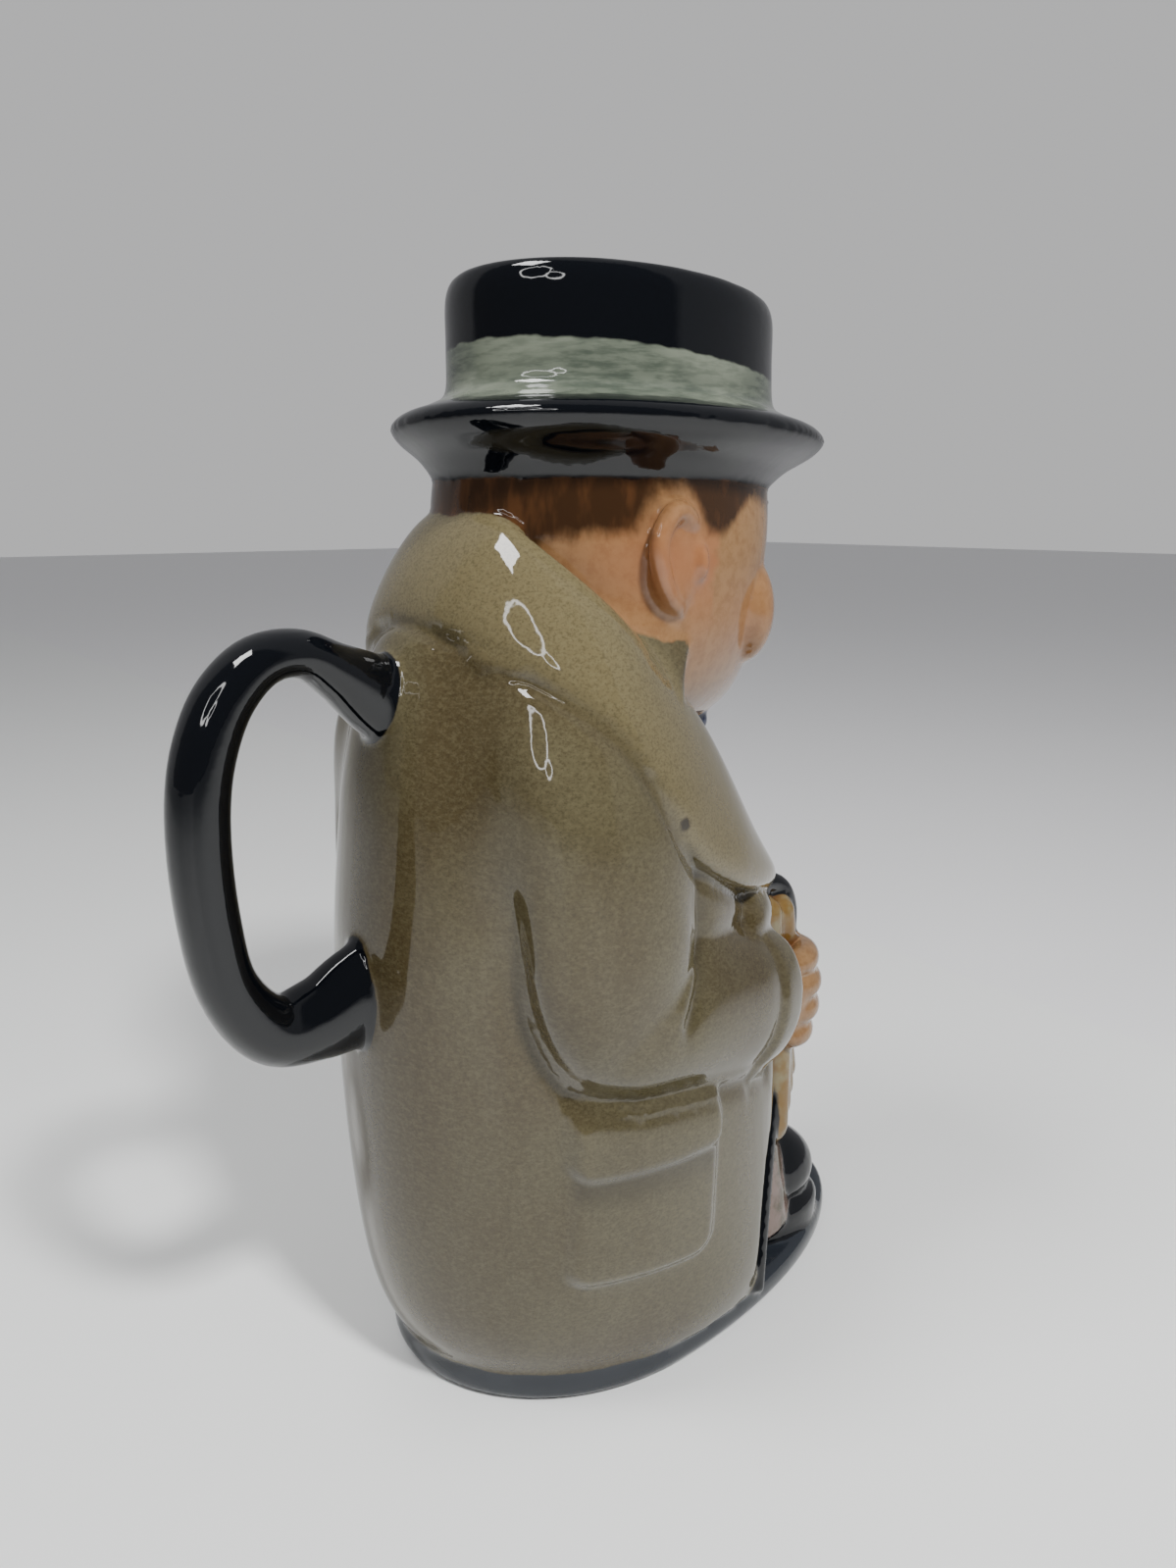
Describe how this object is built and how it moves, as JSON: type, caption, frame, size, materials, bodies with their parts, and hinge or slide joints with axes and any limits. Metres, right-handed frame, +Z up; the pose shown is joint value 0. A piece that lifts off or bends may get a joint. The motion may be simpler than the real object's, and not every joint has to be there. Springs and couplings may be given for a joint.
{
  "type": "toby jug",
  "caption": "Hollow glazed jug shaped as a standing gentleman in an overcoat and hat, with the crown as its mouth and a loop handle at the back.",
  "frame": {"origin": "on the underside of the plinth, under the middle of the figure's body, where the jug stands", "axes": "-Y towards the figure's face and shoes, +Y towards the handle, -X towards the figure's right hand, +Z up"},
  "size_m": [0.061, 0.1037, 0.1404],
  "materials": {
    "glazed_earthenware": "painted under a high gloss glaze"
  },
  "bodies": {
    "root": {"jug": "glazed_earthenware"}
  },
  "joints": []
}
